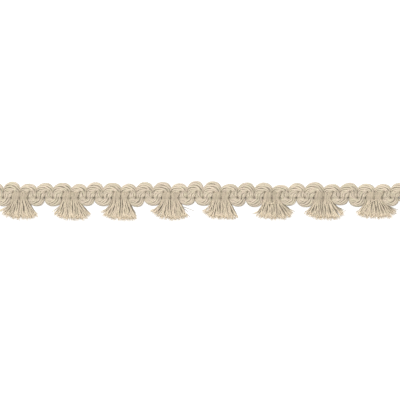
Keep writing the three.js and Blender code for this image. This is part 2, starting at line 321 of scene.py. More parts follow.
# How yarn wanders: the size of it, in radians, shares or millimetres, and about the length of its waves
STRAND_TURN_DRIFT = (0.10, 9.0)
STRAND_REACH_DRIFT = (0.035, 7.0)
STRAND_SIZE_DRIFT = (0.06, 5.0)
YARN_SWAY_DRIFT = (0.3, 17.0)
YARN_WAVE_DRIFT = (0.12, 7.0)
PLY_SWAY_DRIFT = (0.12, 11.0)
PLY_LIFT_DRIFT = (0.15, 7.0)
PLY_SIZE_DRIFT = (0.07, 5.0)
# It is a sum of waves, each shorter and weaker, divided by about the highest value that it reaches
DRIFT_OCTAVES = (1.0, 1.9, 3.1)
DRIFT_STRETCHES = (0.8, 1.25)
DRIFT_HIGHEST = 1.6

# The two threads of a stitch row, over and under the legs: their heights between the legs and at them
THREAD_RADIUS = 0.16
THREAD_SIDES = 6
THREAD_STEPS = 9
THREAD_RISE_EXPONENT = 0.4
THREADS = [
    {"between_z": 0.9, "leg_z": ROW_TOP_Z - 0.1, "tone": 0.75, "seed": 0.75},
    {"between_z": 0.6, "leg_z": 0.17, "tone": 0.65, "seed": 0.65},
]

# Tubes: how far their ends bulge, in shares of the radius, and when their start counts as upright
END_BULGE = 0.5
NEARLY_UPRIGHT = 0.1

# The yarn's colours and finish, and how many times a millimetre fibres and plies wind round a strand
GIMP_COLOUR = (0.59, 0.515, 0.407)
TASSEL_COLOUR = (0.59, 0.505, 0.388)
THREAD_COLOUR = (0.52, 0.445, 0.33)
YARN_FINISH = {
    "Roughness": 0.95, "Specular IOR Level": 0.15, "Sheen Weight": 0.12, "Sheen Roughness": 0.5,
}
FIBRE_TURNS = 0.16
PLY_TURNS = 0.62
PLIES_ROUND = 2
# Fibres are drawn out along the strand, and each strand has its own stretch of the noise. They go from
# dark to light, and the yarn from a greenish to a pinkish tint, between two values of the noise
FIBRE_DRAWN_OUT = 0.12
SEED_STRETCH = 57.0
FIBRE_NOISE = {"Scale": 3.2, "Detail": 3.0}
FIBRE_EDGE = (0.3, 0.7)
FIBRE_SHADES = (0.88, 1.08)
TINT_NOISE = {"Scale": 0.7, "Detail": 1.0}
TINT_EDGE = (0.35, 0.65)
TINTS = ((0.97, 1.0, 0.93), (1.03, 0.99, 1.0))
PLY_BUMP_SHARE = 0.35
BUMP_STRENGTH = 0.6
BUMP_DISTANCE = 0.0002

# Seeds of the first stretch of gimp and of the first tassel; each next one has the next seed
GIMP_SEED = 100
TASSEL_SEED = 200


class Stations(NamedTuple):
    """Cross-sections of a bundle along its run: the points on its left and right, and its form there."""
    left: np.ndarray
    right: np.ndarray
    top: np.ndarray
    left_margin: np.ndarray
    right_margin: np.ndarray
    twist: np.ndarray


class Plies(NamedTuple):
    """A tassel's plies: their layers, and their places in a yarn and across the tassel, from -1 to 1."""
    layer: np.ndarray
    in_yarn: np.ndarray
    across: np.ndarray

    def layer_value(self, column):
        """What LAYERS says in a column about the layer of each ply."""
        return np.array([layer[column] for layer in LAYERS])[self.layer]


def camera():
    """Looks straight down on the trim through a long lens, so that the photograph's width fits the frame."""
    data = bpy.data.cameras.new("camera")
    data.sensor_width = SENSOR_WIDTH
    data.lens = SENSOR_WIDTH * CAMERA_HEIGHT / PHOTO_WIDTH
    data.clip_start = CLIP_START
    data.clip_end = CLIP_END
    obj = bpy.data.objects.new("camera", data)
    obj.location = (PHOTO_CENTRE_X * MM, PHOTO_CENTRE_Y * MM, CAMERA_HEIGHT * MM)
    bpy.context.collection.objects.link(obj)
    bpy.context.scene.camera = obj


def unit(vectors):
    """Unit vectors along the last axis."""
    length = np.linalg.norm(vectors, axis=-1, keepdims=True)
    return vectors / np.maximum(length, 1e-9)


def smooth(value, low, high):
    """0 below low, 1 above high, and a smooth step between."""
    share = np.clip((value - low) / (high - low), 0, 1)
    return share * share * (3 - 2 * share)


def hill(value, reach):
    """1 at 0, falling smoothly to both sides, and almost 0 at twice the reach."""
    return np.exp(-((value / reach) ** 2))


def power(value, exponent):
    """A power that keeps the sign."""
    return np.sign(value) * np.abs(value) ** exponent


def curve(start, bend, end, share):
    """Points on a curve from start to end that is drawn towards the bend."""
    return (1 - share) ** 2 * start + 2 * share * (1 - share) * bend + share ** 2 * end


def run_lengths(paths):
    """How far along its path each point lies."""
    lengths = np.linalg.norm(np.diff(paths, axis=-2), axis=-1)
    return np.concatenate([np.zeros_like(lengths[..., :1]), np.cumsum(lengths, axis=-1)], axis=-1)


def drift(rng, strands, along, size, wavelength):
    """A smooth random wander for each strand along its length."""
    total = np.zeros((strands, len(along)))
    for octave in DRIFT_OCTAVES:
        phase = rng.uniform(0, 2 * math.pi, (strands, 1))
        stretch = rng.uniform(*DRIFT_STRETCHES, (strands, 1))
        total += np.sin(2 * math.pi * along[None] * octave * stretch / wavelength + phase) / octave
    return size * total / DRIFT_HIGHEST


def carried_frames(paths):
    """Tangents along paths, and two directions across them that are carried along without a twist."""
    tangents = unit(np.gradient(paths, axis=1))
    normals = np.empty_like(paths)
    start = np.cross(tangents[:, 0], UP)
    upright = np.linalg.norm(start, axis=-1) < NEARLY_UPRIGHT
    start[upright] = np.cross(tangents[upright, 0], TO_THE_RIGHT)
    normals[:, 0] = unit(start)
    for step in range(1, paths.shape[1]):
        along = tangents[:, step]
        carried = normals[:, step - 1]
        carried = carried - (carried * along).sum(-1, keepdims=True) * along
        normals[:, step] = unit(carried)
    return tangents, normals, np.cross(tangents, normals)


def tube_faces(steps, sides):
    """Faces of one closed tube, and the step and side of each of their corners."""
    step, side = np.meshgrid(np.arange(steps - 1), np.arange(sides), indexing="ij")
    step, side = step.ravel(), side.ravel()
    after = (side + 1) % sides
    quads = np.stack(
        [step * sides + side, step * sides + after, (step + 1) * sides + after, (step + 1) * sides + side],
        axis=1,
    )
    quad_steps = np.stack([step, step, step + 1, step + 1], axis=1)
    quad_sides = np.stack([side, side + 1, side + 1, side], axis=1) / sides
    ring = np.arange(sides)
    ring_after = (ring + 1) % sides
    middle = np.full(sides, steps * sides)
    last = (steps - 1) * sides
    start_cap = np.stack([middle, ring_after, ring, middle], axis=1)
    end_cap = np.stack([middle + 1, last + ring, last + ring_after, middle + 1], axis=1)
    cap_steps = np.zeros((sides, 4), int)
    cap_sides = np.tile(ring[:, None] / sides, (1, 4))
    faces = np.concatenate([quads, start_cap, end_cap])
    corner_steps = np.concatenate([quad_steps, cap_steps, cap_steps + steps - 1])
    corner_sides = np.concatenate([quad_sides, cap_sides, cap_sides])
    return faces, corner_steps, corner_sides


def row_painted_shade(points, lines, shade):
    """How light yarn is at points about the stitch rows, after their painted shade.

    lines holds where the lines between legs cross the upper and the lower row, and how dark the painted
    shade of their pits is.
    """
    x, y = points[..., 0], points[..., 1]
    from_row = np.abs(y) - STITCH_ROW_Y
    down = np.clip(0.5 - 0.5 * y / STITCH_ROW_Y, 0, 1)
    from_pit = np.where(y > 0, y - shade["upper_pit_y"], y - shade["lower_pit_y"])
    pit_shade = np.where(y > 0, shade["upper_pit"], shade["lower_pit"])
    line_fade = hill(np.maximum(from_row, 0), LINE_PAST_ROW) * (1 - LINE_FAINTER_BELOW * down)
    dark = np.zeros_like(x)
    for upper_x, lower_x, pit_darkness in zip(*lines):
        aside = x - upper_x - (lower_x - upper_x) * down
        line = shade["line"] * hill(aside, LINE_SHADE_REACH) * line_fade
        pit = pit_darkness * pit_shade * np.exp(-(aside ** 2 + from_pit ** 2) / PIT_SHADE_REACH ** 2)
        dark = np.maximum(dark, np.maximum(line, pit))
    upper_crease = shade["upper_crease"] * hill(y - UPPER_CREASE_Y, CREASE_REACH)
    lower_crease = shade["lower_crease"] * hill(y - LOWER_CREASE_Y, CREASE_REACH)
    band = BAND_SHADE * smooth(-from_row, *BAND_SHADE_EDGE)
    below = LOWER_LOOP_SHADE * smooth(-y, *LOWER_LOOP_SHADE_EDGE)
    return (1 - dark) * (1 - upper_crease) * (1 - lower_crease) * (1 - band) * (1 - below)


class YarnMesh:
    """Collects tubes of yarn and writes them as one mesh, with each corner's place on its strand and each
    point's tone, which holds painted shade and light.
    """

    def __init__(self, lines, shade):
        self.lines = lines
        self.shade = shade
        self.points = []
        self.tones = []
        self.faces = []
        self.places = []
        self.count = 0

    def add_tubes(self, paths, radii, sides, seeds, tones, outward, groove_shade):
        """Adds closed tubes, one for each path.

        paths and outward are strands x steps x 3, and radii, tones and groove are strands x steps.
        """
        strands = len(paths)
        tangents, normals, binormals = carried_frames(paths)
        angles = np.arange(sides) * 2 * math.pi / sides
        spokes = (
            np.cos(angles)[:, None] * normals[:, :, None, :]
            + np.sin(angles)[:, None] * binormals[:, :, None, :]
        )
        rings = paths[:, :, None, :] + radii[:, :, None, None] * spokes
        bulge = END_BULGE * radii[:, [0, -1], None]
        ends = paths[:, [0, -1]] + np.stack([-tangents[:, 0], tangents[:, -1]], 1) * bulge
        points = np.concatenate([rings.reshape(strands, -1, 3), ends], axis=1)
        self.points.append(points.reshape(-1, 3))
        # Each point's tone gets painted shade where it faces into the grooves between strands
        facing = (spokes * outward[:, :, None, :]).sum(-1)
        ring_tones = tones[:, :, None] * (1 - groove_shade[:, :, None] * (1 - smooth(facing, *GROOVE_FACING)))
        # Painted shade in the pits, lines and creases about the stitch rows
        ring_tones = ring_tones * row_painted_shade(rings, self.lines, self.shade)
        point_tones = np.concatenate([ring_tones.reshape(strands, -1), tones[:, [0, -1]]], axis=1)
        self.tones.append(point_tones.ravel())
        self.add_faces(paths, sides, seeds)

    def add_faces(self, paths, sides, seeds):
        """Adds the tubes' faces, and how far along and round which strand each of their corners lies."""
        strands, steps, _ = paths.shape
        faces, corner_steps, corner_sides = tube_faces(steps, sides)
        points_each = steps * sides + 2
        offsets = self.count + np.arange(strands) * points_each
        self.faces.append((faces[None] + offsets[:, None, None]).reshape(-1, 4))
        places = np.empty((strands, len(faces), 4, 3))
        places[..., 0] = run_lengths(paths)[:, corner_steps]
        places[..., 1] = corner_sides[None]
        places[..., 2] = np.asarray(seeds)[:, None, None]
        self.places.append(places.reshape(-1, 4, 3))
        self.count += strands * points_each

    def write(self, name, material):
        """Makes the mesh object, in metres; a face whose last corner repeats its first is a triangle."""
        points = np.concatenate(self.points) * MM
        faces = np.concatenate(self.faces)
        places = np.concatenate(self.places)
        keep = np.ones(faces.shape, bool)
        keep[faces[:, 0] == faces[:, 3], 3] = False
        totals = keep.sum(axis=1)
        mesh = bpy.data.meshes.new(name)
        mesh.vertices.add(len(points))
        mesh.vertices.foreach_set("co", points.ravel())
        mesh.loops.add(int(totals.sum()))
        mesh.loops.foreach_set("vertex_index", faces[keep].astype(np.int32))
        mesh.polygons.add(len(faces))
        mesh.polygons.foreach_set("loop_start", (np.cumsum(totals) - totals).astype(np.int32))
        mesh.polygons.foreach_set("loop_total", totals.astype(np.int32))
        mesh.polygons.foreach_set("use_smooth", np.ones(len(faces), bool))
        place = mesh.attributes.new("yarn", "FLOAT_VECTOR", "CORNER")
        place.data.foreach_set("vector", places[keep].astype(np.float32).ravel())
        # The tone holds random tone times painted shade and painted light
        tone = mesh.attributes.new("tone", "FLOAT", "POINT")
        tone.data.foreach_set("value", np.concatenate(self.tones).astype(np.float32))
        mesh.update(calc_edges=True)
        mesh.materials.append(material)
        obj = bpy.data.objects.new(name, mesh)
        bpy.context.collection.objects.link(obj)
        return obj


def pinch(y):
    """How tightly a stitch row holds the yarn at a height y of the heading: 1 on a row, 0 far from it."""
    return hill(np.abs(y) - STITCH_ROW_Y, PINCH_REACH)


def margin(y):
    """How far the yarn stands back from the line between two legs; negative where they press together."""
    beyond = np.maximum(np.abs(y) - STITCH_ROW_Y, 0)
    valley_depth = np.where(y > 0, UPPER_VALLEY_DEPTH, LOWER_VALLEY_DEPTH)
    in_valley = np.exp(-((beyond / valley_depth) ** VALLEY_END_EXPONENT))
    pressed = np.where(y > 0, UPPER_PRESSED, LOWER_PRESSED) * in_valley
    pit_half_width = np.where(y > 0, UPPER_PIT_HALF_WIDTH, LOWER_PIT_HALF_WIDTH)
    return (pit_half_width + pressed) * pinch(y) - pressed


def leg_top(y, row_top):
    """Height of a leg's crown, which the stitch rows press down to row_top."""
    return LEG_TOP_Z - (LEG_TOP_Z - row_top) * pinch(y)


def gap_lines(widths, left):
    """Where the lines between legs cross the rows: the loops' sides and, leaning, their middles."""
    sides = [left]
    for width in widths:
        start = sides[-1]
        sides += [start + width / 2, start + width]
    upper = np.array(sides)
    lower = np.array(sides)
    upper[1::2] += SLIT_SHIFT_AT_TOP
    lower[1::2] += SLIT_SHIFT_AT_BOTTOM
    return upper, lower


def shaded_lines(widths, left):
    """The lines between legs and how dark the painted shade of their pits is, darkest in the valleys between
    lower loops.
    """
    upper, lower = gap_lines(widths, left)
    pit_darknesses = np.ones_like(upper)
    pit_darknesses[3:-3:2] = VALLEY_PIT_DARKER
    return upper, lower, pit_darknesses


def loop_twist(outer, inner, share, leans):
    """How far strands turn round their bundle along a loop, from how their way leans from the bundle's."""
    steps = np.linalg.norm(np.diff((outer + inner) / 2, axis=0), axis=1)
    round_radius = np.linalg.norm(outer - inner, axis=1) / 2 - STRAND_RADIUS
    start_lean, end_lean = leans
    rate = np.tan(start_lean + (end_lean - start_lean) * share) / round_radius
    return np.concatenate([[0], np.cumsum((rate[1:] + rate[:-1]) / 2 * steps)])


def turn_stations(lines, turn, outer_y, turned):
    """A half turn of the bundle about the end of a slit, over the upper row or under the lower one."""
    is_upper = outer_y > 0
    side = 1 if is_upper else -1
    left_x, slit_x, right_x = lines[0 if is_upper else 1][turn:turn + 3]
    share = np.linspace(0, 1, TURN_STEPS + 1)
    angle = math.pi * (1 - share)
    cosine, sine = np.cos(angle), np.maximum(np.sin(angle), 0)
    middle, half = (left_x + right_x) / 2, (right_x - left_x) / 2
    row_y = side * STITCH_ROW_Y
    crest_y = outer_y + side * CREST_BULGE
    outer = np.stack([
        middle + LOOP_LEAN * sine + half * power(cosine, 2 / LOOP_ROUNDNESS),
        row_y + (crest_y - row_y) * power(sine, 2 / LOOP_ROUNDNESS),
    ], axis=1)
    inner = np.empty_like(outer)
    inner[:] = slit_x, UPPER_SLIT_END_Y if is_upper else LOWER_SLIT_END_Y
    outer_margin = margin(outer[:, 1])
    inner_margin = np.full_like(share, SLIT_END_RADIUS)
    top = ROW_TOP_Z + (LOOP_TOP_Z - ROW_TOP_Z) * np.minimum(1, LOOP_DOME * sine)
    leans = UPPER_LOOP_LEANS if is_upper else LOWER_LOOP_LEANS
    twist = turned + side * loop_twist(outer, inner, share, leans)
    if is_upper:
        return Stations(outer, inner, top, outer_margin, inner_margin, twist)
    return Stations(inner, outer, top, inner_margin, outer_margin, twist)


def leg_stations(start_left, start_right, end_left, end_right, turned, late_turn):
    """A leg of the bundle between two cross-sections; late_turn is the twist that its second half adds."""
    share = np.linspace(0, 1, LEG_STEPS + 1)
    left = start_left + (end_left - start_left) * share[:, None]
    right = start_right + (end_right - start_right) * share[:, None]
    twist = turned + late_turn * np.clip(2 * share - 1, 0, 1) ** 2
    top = leg_top((left[:, 1] + right[:, 1]) / 2, ROW_TOP_Z)
    return Stations(left, right, top, margin(left[:, 1]), margin(right[:, 1]), twist)


def gimp_stations(stretch, left):
    """All cross-sections of one stretch of gimp, in the order in which the yarn runs."""
    lines = gap_lines(stretch["widths"], left)
    lower = lines[1]
    parts = []
    turned = LEG_TURN if stretch is STRETCHES[0] else 0.0
    for turn in range(len(lower) - 2):
        outer_y = stretch["lows" if turn % 2 else "crests"][turn // 2]
        loop = turn_stations(lines, turn, outer_y, turned)
        if parts:
            before = parts[-1]
            late = loop.twist[0] - before.twist[-1]
            leg = leg_stations(
                before.left[-1], before.right[-1], loop.left[0], loop.right[0], before.twist[-1], late
            )
            parts.append(Stations(*(values[1:-1] for values in leg)))
        elif stretch is STRETCHES[0]:
            foot = np.array([(lower[0], CUT_END_Y), (lower[1], CUT_END_Y)])
            leg = leg_stations(*foot, loop.left[0], loop.right[0], 0.0, LEG_TURN)
            parts.append(Stations(*(values[:-1] for values in leg)))
        parts.append(loop)
        turned = loop.twist[-1] + (LEG_TURN if turn % 2 else -LEG_TURN)
    if stretch is STRETCHES[-1]:
        last = parts[-1]
        foot = np.array([(lower[-1], CUT_END_Y), (lower[-2], CUT_END_Y)])
        leg = leg_stations(last.left[-1], last.right[-1], *foot, last.twist[-1], 0.0)
        parts.append(Stations(*(values[1:] for values in leg)))
    return Stations(*(np.concatenate(values) for values in zip(*parts)))


def strand_thickness(stations, half, along, is_outer):
    """Radius of the strands at each cross-section, from the girth of the ellipse that they fill."""
    wide = half - STRAND_RADIUS - (stations.left_margin + stations.right_margin) / 2
    high = stations.top / 2 - STRAND_RADIUS
    girth = math.pi * (3 * (wide + high) - np.sqrt((3 * wide + high) * (wide + 3 * high)))
    thickness = np.clip(STRAND_FILL * girth / OUTER_STRANDS, *STRAND_RADII)
    if not is_outer:
        return thickness * INNER_THICKER
    slope = wide * np.abs(np.gradient(stations.twist, along))
    return thickness * np.maximum((1 + slope ** 2) ** -STRAND_NARROWING, STRAND_NARROWEST)


def bundle_paths(rng, stations, strands, reach, is_outer):
    """Paths of strands round the bundle that turn with its twist, the ways they face and their radii."""
    middle = (stations.left + stations.right) / 2
    along = run_lengths(middle)
    half = np.linalg.norm(stations.left - stations.right, axis=1) / 2
    sideways = (stations.left - stations.right) / (2 * half[:, None])
    start = rng.uniform(0, 2 * math.pi)
    angle = start + np.arange(strands)[:, None] * 2 * math.pi / strands + stations.twist[None]
    angle = angle + drift(rng, strands, along, *STRAND_TURN_DRIFT)
    radial = reach * (1 + drift(rng, strands, along, *STRAND_REACH_DRIFT))
    thickness = strand_thickness(stations, half, along, is_outer)
    radii = thickness[None] * (1 + drift(rng, strands, along, *STRAND_SIZE_DRIFT))
    cosine, sine = np.cos(angle), np.sin(angle)
    on_top = smooth(sine, *FOOT_TO_TOP)
    side_margin = np.where(cosine > 0, stations.left_margin, stations.right_margin)
    side_margin = side_margin * on_top - FOOT_PRESSED * (1 - on_top)
    exponent = FOOT_EXPONENT + (SECTION_EXPONENT - FOOT_EXPONENT) * on_top
    across = radial * power(cosine, exponent) * (half - radii - side_margin)
    over = stations.top - radii - AXIS_Z
    under = AXIS_Z - radii
    lift = radial * power(sine, SECTION_EXPONENT) * np.where(sine > 0, over, under)
    height = np.maximum(AXIS_Z + lift, radii)[..., None]
    aside = across[..., None] * sideways[None]
    paths = np.concatenate([middle[None] + aside, height], axis=2)
    outward = np.concatenate([aside, (height - AXIS_Z) * FACING_UP], axis=2)
    return paths, unit(outward), radii


def fuzz(yarn, rng, paths, outward, radius, count):
    """Fine loose fibres that stand off the yarn."""
    strands, steps, _ = paths.shape
    strand = rng.integers(0, strands, count)
    step = rng.integers(1, steps - 1, count)
    away = outward[strand, step]
    foot = paths[strand, step] + away * radius * FUZZ_FOOT_SHARE
    along = unit(paths[strand, step + 1] - paths[strand, step - 1]) * rng.choice([-1, 1], (count, 1))
    stray = unit(rng.normal(0, 1, (count, 3)))
    length = rng.uniform(*FUZZ_LENGTHS, (count, 1))
    first = unit(along + FUZZ_FIRST["away"] * away + FUZZ_FIRST["stray"] * stray)
    last = unit(along + FUZZ_LAST["away"] * away + FUZZ_LAST["stray"] * stray)
    share = np.linspace(0, 1, FUZZ_STEPS)[None, :, None]
    bend = length * (last - first) / 2
    fibres = foot[:, None] + (length * first)[:, None] * share + bend[:, None] * share ** 2
    fibres[..., 2] = np.maximum(fibres[..., 2], FUZZ_LOWEST_Z)
    radii = np.full((count, FUZZ_STEPS), FUZZ_RADIUS) * np.linspace(1, FUZZ_TIP_SHARE, FUZZ_STEPS)
    facing = np.repeat(away[:, None], FUZZ_STEPS, axis=1)
    seeds = rng.uniform(0, 1, count)
    tones = np.full_like(radii, FUZZ_TONE)
    yarn.add_tubes(fibres, radii, FUZZ_SIDES, seeds, tones, facing, np.zeros_like(radii))


def gimp_groove_shade(paths):
    """How much painted shade darkens the grooves between the strands: less in the lower loops and between
    the rows.
    """
    y = paths[..., 1]
    upper = smooth(y, *LOWER_GROOVE_EDGE)
    shade = LOWER_GROOVE_SHADE + (UPPER_GROOVE_SHADE - LOWER_GROOVE_SHADE) * upper
    in_band = smooth(STITCH_ROW_Y - np.abs(y), *BAND_GROOVE_EDGE)
    return shade * (1 - (1 - BAND_GROOVE_SHARE) * in_band)


def gimp_piece(stretch, left, seed, material):
    """One stretch of gimp as a bundle of separate strands."""
    rng = np.random.default_rng(seed)
    yarn = YarnMesh(shaded_lines(stretch["widths"], left), GIMP_SHADE)
    stations = gimp_stations(stretch, left)
    paths, outward, radii = bundle_paths(rng, stations, OUTER_STRANDS, OUTER_REACH, True)
    tones = np.ones_like(radii) * rng.uniform(*STRAND_TONES, (OUTER_STRANDS, 1))
    seeds = rng.uniform(0, 1, OUTER_STRANDS)
    yarn.add_tubes(paths, radii, OUTER_SIDES, seeds, tones, outward, gimp_groove_shade(paths))
    fuzz(yarn, rng, paths, outward, STRAND_RADIUS, FUZZ_PER_LOOP * len(stretch["widths"]))
    paths, outward, radii = bundle_paths(rng, stations, INNER_STRANDS, INNER_REACH, False)
    tones = np.full_like(radii, INNER_PAINTED_SHADE_TONE)
    seeds = rng.uniform(0, 1, INNER_STRANDS)
    yarn.add_tubes(paths, radii, INNER_SIDES, seeds, tones, outward, gimp_groove_shade(paths))
    return yarn.write(stretch["node"] + "_yarn", material)


def tassel_plies(rng):
    """The plies of a tassel, side by side in their yarns, which lie side by side across the tassel."""
    yarns = len(YARN_LAYERS)
    yarn_across = np.linspace(-OUTERMOST_YARN, OUTERMOST_YARN, yarns)
    yarn_across = yarn_across + rng.uniform(-YARN_SHIFT, YARN_SHIFT, yarns)
    in_yarn = np.tile(np.linspace(-1, 1, YARN_PLIES), yarns)
    across = np.clip(np.repeat(yarn_across, YARN_PLIES) + PLY_SPREAD * in_yarn, -1, 1)
    return Plies(np.repeat(YARN_LAYERS, YARN_PLIES), in_yarn, across)


def leg_paths(plies, left_slit, right_slit):
    """The plies' ways down through the stitch rows, in the tassel's two legs."""
    across = plies.across[:, None]
    radius = plies.layer_value("radius")[:, None]
    leg_side = np.where(across < 0, -1, 1)
    within = 2 * across - leg_side
    y = np.linspace(LEG_START_Y, -STITCH_ROW_Y, TASSEL_LEG_STEPS)
    down = smooth(-y, -UPPER_SLIT_END_Y, STITCH_ROW_Y)
    left_x, right_x = (upper + (lower - upper) * down for upper, lower in (left_slit, right_slit))
    width = np.where(across < 0, -left_x, right_x)
    held = margin(y)
    held = np.where(held > 0, TASSEL_PIT_SHARE * held, held) - plies.layer_value("overlap")[:, None]
    x = leg_side * width / 2 + within * (width / 2 - radius - held)
    crown = leg_top(y, TASSEL_ROW_TOP_Z) - radius
    arch = 1 - LEG_ARCH * np.abs(within) ** LEG_ARCH_EXPONENT
    z = np.maximum(plies.layer_value("height")[:, None] * crown * arch, radius)
    z = z - LEG_START_DROP * z * smooth(y, *LEG_START_EDGE)
    return np.stack([x, np.broadcast_to(y, x.shape), z], axis=2)


def fan_tips(rng, tassel, plies):
    """Where the plies end on the fan's rim, which is lowest a little to the right of its middle."""
    across = plies.across
    from_low = across - FAN_LOW_PLACE
    from_low = np.abs(from_low) / np.where(from_low < 0, 1 + FAN_LOW_PLACE, 1 - FAN_LOW_PLACE)
    side_y = np.where(across < FAN_LOW_PLACE, tassel["left_y"], tassel["right_y"]) - FAN_SIDE_DROP
    y = tassel["low_y"] + (side_y - tassel["low_y"]) * from_low ** FAN_TIP_CURVE
    y = y + rng.uniform(*FAN_TIPS_SHORTER, len(across))
    straying = np.repeat(rng.normal(0, 1, len(YARN_LAYERS)), YARN_PLIES)
    straying = straying + PLY_STRAYING_SHARE * rng.normal(0, 1, len(across))
    strayed = across + straying * plies.layer_value("straying")
    reach = np.where(across < 0, tassel["left"], tassel["right"]) + FAN_WIDER
    return np.stack([plies.layer_value("width") * strayed * reach, y], axis=1)


def fan_paths(rng, tassel, plies, roots, run):
    """The plies' ways from their roots under the lower row to their tips, at the shares in run."""
    across = plies.across
    tips = fan_tips(rng, tassel, plies)
    side_bend_x = np.where(across < 0, FAN_LEFT_BEND_X, FAN_RIGHT_BEND_X)
    bend_x = plies.layer_value("width") * across * side_bend_x
    bend_y = FAN_BEND_Y * (FAN_MIDDLE_BEND_SHARE + (1 - FAN_MIDDLE_BEND_SHARE) * np.abs(across))
    bends = np.stack([bend_x, bend_y], axis=1)
    flat = curve(roots[:, None, :2], bends[:, None], tips[:, None], run[:, None])
    rest_z = plies.layer_value("rest_z") * (1 - FAN_RIM_SAG * smooth(np.abs(across), *FAN_RIM_EDGE))
    root_z = roots[:, 2]
    height = root_z[:, None] + (rest_z - root_z)[:, None] * run ** FAN_FALL_EXPONENT
    return np.concatenate([flat, height[..., None]], axis=2)


def ply_radii(rng, plies, along, loose):
    """How thick the plies are along their way, with a swelling below the rows and thin ends."""
    left_over = along[-1] - along
    closed = PLY_END_SHARE + (1 - PLY_END_SHARE) * smooth(left_over, 0.0, PLY_END_TAPER)
    swelling = 1 + HEAD_SWELLING * hill(loose - HEAD_SWELLING_PLACE, HEAD_SWELLING_REACH)
    uneven = 1 + drift(rng, len(plies.across), along, *PLY_SIZE_DRIFT)
    return plies.layer_value("radius")[:, None] * (closed * swelling) * uneven


def wander(rng, plies, paths, along, loose):
    """Lets the plies sway and rise where they are loose, and spreads the plies of a yarn at its end."""
    yarns, count = len(YARN_LAYERS), len(paths)
    freedom = smooth(loose, *FREEDOM_EDGE)
    yarn_sway = drift(rng, yarns, along, *YARN_SWAY_DRIFT) + drift(rng, yarns, along, *YARN_WAVE_DRIFT)
    sway = (np.repeat(yarn_sway, YARN_PLIES, axis=0) + drift(rng, count, along, *PLY_SWAY_DRIFT)) * freedom
    sway = sway + PLY_TIP_SPREAD * plies.in_yarn[:, None] * loose ** PLY_TIP_SPREAD_EXPONENT
    paths[..., 0] += sway
    paths[..., 2] += drift(rng, count, along, *PLY_LIFT_DRIFT) * freedom


def ply_tones(rng, plies, loose):
    """How light the plies are: alike in the head, with painted shade and light by layer in the fan, and
    lightest, with painted light, at the tips.
    """
    opened = smooth(loose, *OPENED_EDGE)
    layer_tone = plies.layer_value("tone")[:, None]
    tones = TASSEL_TONE * (HEAD_TONE + (layer_tone - HEAD_TONE) * opened)
    tones = tones + (PAINTED_TIP_LIGHT - tones) * smooth(loose, *PAINTED_TIP_LIGHT_EDGE)
    yarn_tones = rng.uniform(*YARN_TONES, (len(YARN_LAYERS), 1))
    return tones * np.repeat(yarn_tones, YARN_PLIES, axis=0)


def ply_groove_shades(plies, loose):
    """How much painted shade darkens the plies where they face inwards: most in the fan, and less again at
    the tips.
    """
    groove_shade = HEAD_GROOVE_SHADE + (FAN_GROOVE_SHADE - HEAD_GROOVE_SHADE) * smooth(loose, *OPENED_EDGE)
    groove_shade = groove_shade * (1 - TIP_GROOVE_SHARE * smooth(loose, *TIP_GROOVE_EDGE))
    return groove_shade * plies.layer_value("groove_shade")[:, None]


def fray(yarn, rng, paths, left_over):
    """The fibres into which the plies' cut ends come apart."""
    start = int(np.searchsorted(-left_over, -FRAY_LENGTH))
    ends = paths[:, start:]
    picks = np.linspace(0, ends.shape[1] - 1, FRAY_STEPS).round().astype(int)
    fibres = np.repeat(ends[:, picks], FRAY_FIBRES, axis=0)
    count = len(fibres)
    share = np.linspace(0, 1, FRAY_STEPS)[None]
    around = rng.uniform(0, 2 * math.pi, (count, 1))
    spread = share * rng.uniform(*FRAY_SPREADS, (count, 1)) + FRAY_FIRST_SPREAD
    heading = unit(fibres[:, -1] - fibres[:, -3])
    sideways = np.cross(heading, UP)
    fibres = fibres + sideways[:, None] * (spread * np.cos(around))[..., None]
    fibres[..., 2] += FRAY_FLATNESS * spread * np.sin(around)
    beyond = rng.uniform(*FRAY_BEYOND, (count, 1)) * share ** 2
    fibres = fibres + heading[:, None] * beyond[..., None]
    fibres[..., 2] = np.maximum(fibres[..., 2], FRAY_LOWEST_Z)
    radii = np.tile(np.linspace(*FRAY_RADII, FRAY_STEPS), (count, 1))
    tones = np.full_like(radii, PAINTED_FRAY_LIGHT) * rng.uniform(*FRAY_TONES, (count, 1))
    outward = np.broadcast_to(UP, fibres.shape)
    seeds = rng.uniform(0, 1, count)
    yarn.add_tubes(fibres, radii, FRAY_SIDES, seeds, tones, outward, np.zeros_like(radii))


def loose_ply(yarn, rng, way, tone):
    """A ply that strays from its tassel's fan or crosses it, on one curve."""
    path = curve(*way, np.linspace(0, 1, LOOSE_PLY_STEPS)[:, None])[None]
    radii = np.linspace(*LOOSE_PLY_RADII, LOOSE_PLY_STEPS)[None]
    tones = np.full_like(radii, tone)
    groove_shade = np.full_like(radii, LOOSE_PLY_GROOVE_SHADE)
    outward = np.broadcast_to(UP, path.shape)
    yarn.add_tubes(path, radii, LOOSE_PLY_SIDES, [rng.uniform(0, 1)], tones, outward, groove_shade)


